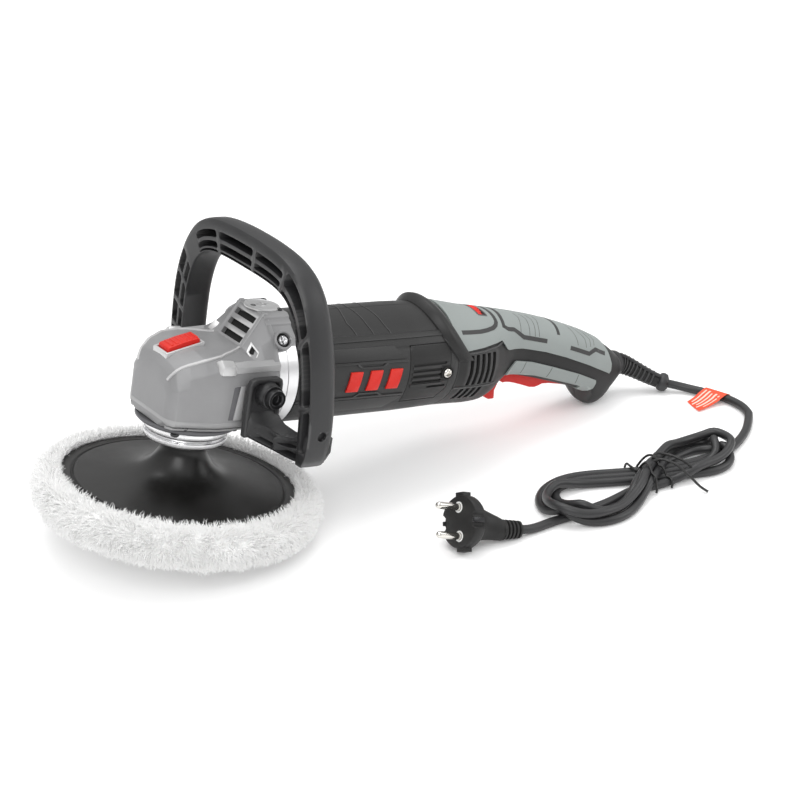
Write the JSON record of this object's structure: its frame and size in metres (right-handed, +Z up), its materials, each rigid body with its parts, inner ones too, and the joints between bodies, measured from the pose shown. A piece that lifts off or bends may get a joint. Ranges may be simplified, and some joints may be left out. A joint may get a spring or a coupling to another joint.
{
  "type": "rotary polisher",
  "caption": "Corded rotary polisher with a geared head, D-shaped front handle, drooping trigger handle and a fluffy wool bonnet, lying beside its tied cord.",
  "frame": {"origin": "on the floor, under the middle of the tool's own box, leaving out the free cord and what is on it", "axes": "+X from the pad towards the rear handle, along the tool; +Y away from the side the cord lies on; +Z up. The tool lies at rest, tipped back by 10.7 degrees onto its pad's rear edge and its heel"},
  "size_m": [0.5253, 0.2585, 0.2011],
  "materials": {
    "wool": "deep fluffy lambswool pile",
    "foam": "open foam",
    "black_plastic": "fine texture",
    "charcoal_plastic": "smooth satin",
    "cast_grey": "painted casting, satin",
    "dark_casting": "dark casting",
    "bare_aluminium": "machined",
    "steel": "machined",
    "black_steel": "blackened",
    "copper": "wound copper and laminations",
    "carbon": "dull carbon",
    "soft_grip": "soft overmoulding with fine grooves",
    "red_plastic": "satin",
    "orange_tag": "printed paper tag, lettering left out",
    "cord_sheath": "smooth rubber sheath"
  },
  "bodies": {
    "tool": {"gear_head_housing": "cast_grey", "bearing_flange": "dark_casting", "spindle_collar": "bare_aluminium", "flange_screw_1": "black_steel", "flange_screw_2": "black_steel", "flange_screw_3": "black_steel", "flange_screw_4": "black_steel", "gear_case_plate": "bare_aluminium", "spindle_bearing_lower": "steel", "spindle_bearing_upper": "steel", "front_bearing": "steel", "rear_bearing": "steel", "stator": "dark_casting", "carbon_brush_near": "carbon", "carbon_brush_far": "carbon", "motor_housing": "charcoal_plastic", "brush_cover_near": "black_plastic", "brush_cover_far": "black_plastic", "brush_cover_screw_near": "steel", "brush_cover_screw_far": "steel", "visor_lip": "black_plastic", "d_handle": "black_plastic", "d_handle_bolt_near": "black_steel", "d_handle_bolt_far": "black_steel", "rear_handle_near": "black_plastic", "rear_handle_far": "black_plastic", "upper_grip_near": "soft_grip", "upper_grip_far": "soft_grip", "lower_grip_near": "soft_grip", "lower_grip_far": "soft_grip", "switch_body": "black_plastic", "speed_module": "dark_casting", "dial_axle": "steel", "trigger_pin": "steel", "strain_relief": "black_plastic", "mains_cord": "cord_sheath", "cord_hank": "cord_sheath", "cord_tie": "black_plastic", "plug_lead": "cord_sheath", "plug_body": "black_plastic", "plug_pin_upper": "steel", "plug_pin_lower": "steel", "cord_tag": "orange_tag"},
    "spindle_set": {"wool_bonnet": "wool", "foam_disc": "foam", "backing_plate": "black_plastic", "plate_hub_insert": "steel", "spindle": "steel", "large_bevel_gear": "steel"},
    "armature": {"armature_shaft": "steel", "armature_core": "copper", "commutator": "copper", "cooling_fan": "charcoal_plastic", "bevel_pinion": "steel"},
    "trigger": {"trigger": "red_plastic"},
    "lock_off_lever": {"lock_off_lever": "red_plastic"},
    "lock_button": {"spindle_lock_button": "red_plastic", "spindle_lock_pin": "steel"},
    "speed_dial": {"speed_dial": "red_plastic"}
  },
  "joints": [
    {"name": "spindle_spin", "type": "hinge", "parent": "tool", "child": "spindle_set", "pos_m": [-0.15669, 0, 0.03851], "axis": [0.1856, 0, 0.9826], "continuous": true},
    {"name": "armature_spin", "type": "hinge", "parent": "tool", "child": "armature", "pos_m": [-0.14254, 0, 0.11338], "axis": [0.9826, 0, -0.1856], "continuous": true},
    {"name": "trigger_squeeze", "type": "hinge", "parent": "tool", "child": "trigger", "pos_m": [0.16872, 0, 0.02639], "axis": [0, 1, 0], "range_deg": [0, 5], "stiffness_Nm_per_rad": 0.5, "springref_deg": -5.73},
    {"name": "lock_off_flip", "type": "hinge", "parent": "trigger", "child": "lock_off_lever", "pos_m": [0.09617, 0, 0.04315], "axis": [0, 1, 0], "range_deg": [-18, 0], "stiffness_Nm_per_rad": 0.05, "springref_deg": 8.59},
    {"name": "spindle_lock_press", "type": "slide", "parent": "tool", "child": "lock_button", "axis": [-0.1856, 0, -0.9826], "range_m": [0, 0.003], "stiffness_N_per_m": 300, "springref_m": -0.003},
    {"name": "speed_dial_turn", "type": "hinge", "parent": "tool", "child": "speed_dial", "pos_m": [0.07921, 0, 0.08859], "axis": [0.9826, 0, -0.1856], "range_deg": [0, 270]}
  ],
  "couplings": [
    {"joint": "armature_spin", "follows": "spindle_spin", "ratio": 3.6}
  ]
}
